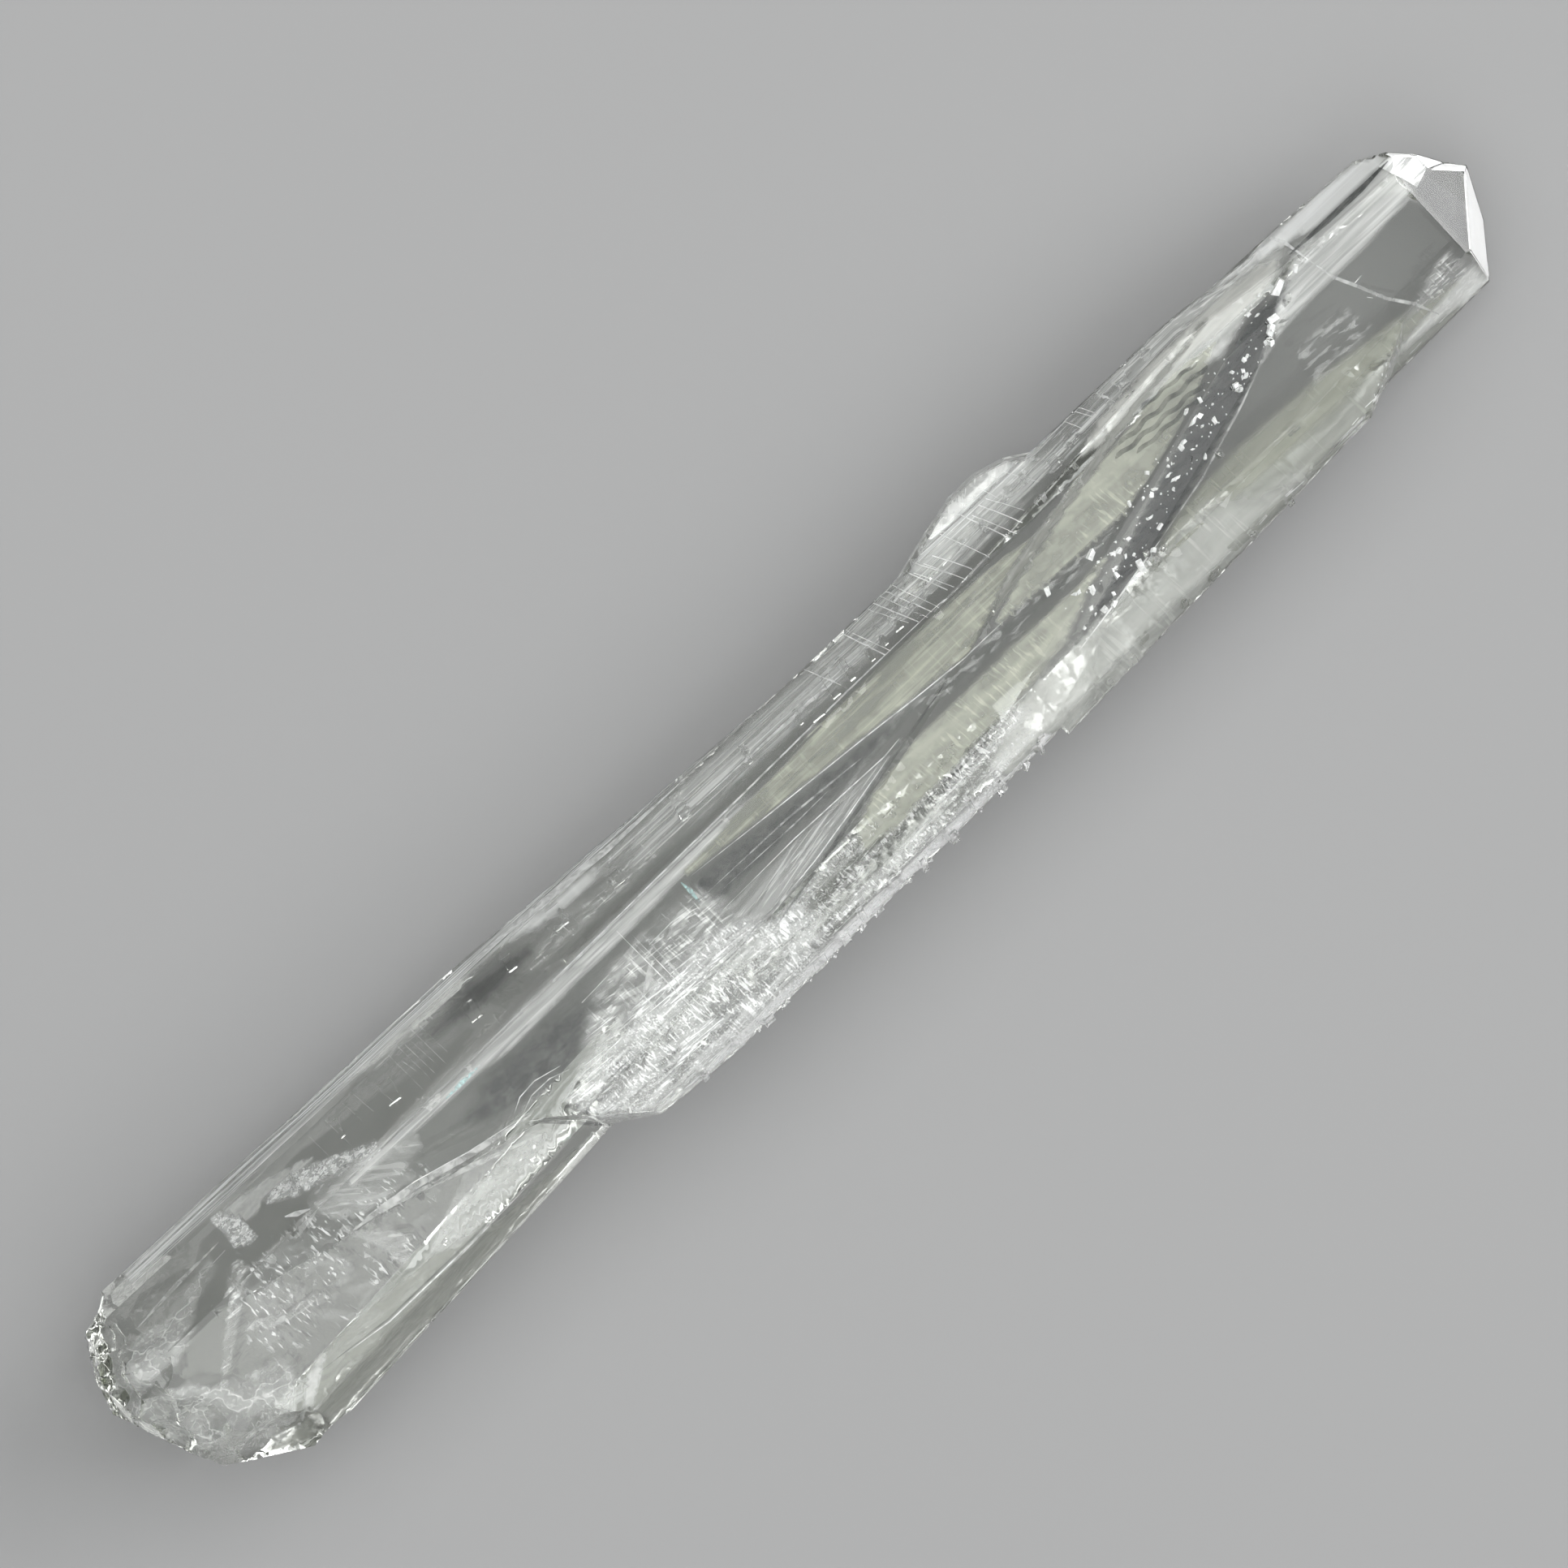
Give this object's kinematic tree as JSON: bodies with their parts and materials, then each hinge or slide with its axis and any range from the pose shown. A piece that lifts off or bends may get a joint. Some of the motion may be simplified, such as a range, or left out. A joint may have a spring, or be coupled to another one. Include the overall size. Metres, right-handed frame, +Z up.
{
  "type": "raw clear quartz crystal point",
  "caption": "Long clear quartz crystal point, a tapering six-sided prism with stepped growth faces, a slanted natural point and a broken root, lying on one prism face.",
  "frame": {"origin": "under the middle of the crystal's bounding box, on the surface it rests on", "axes": "+X along the crystal's long axis towards the natural point, +Z up, out of the widest front face"},
  "size_m": [0.1894, 0.0268, 0.0218],
  "materials": {
    "clear_quartz": "polished"
  },
  "bodies": {
    "root": {"quartz_crystal": "clear_quartz"}
  },
  "joints": []
}
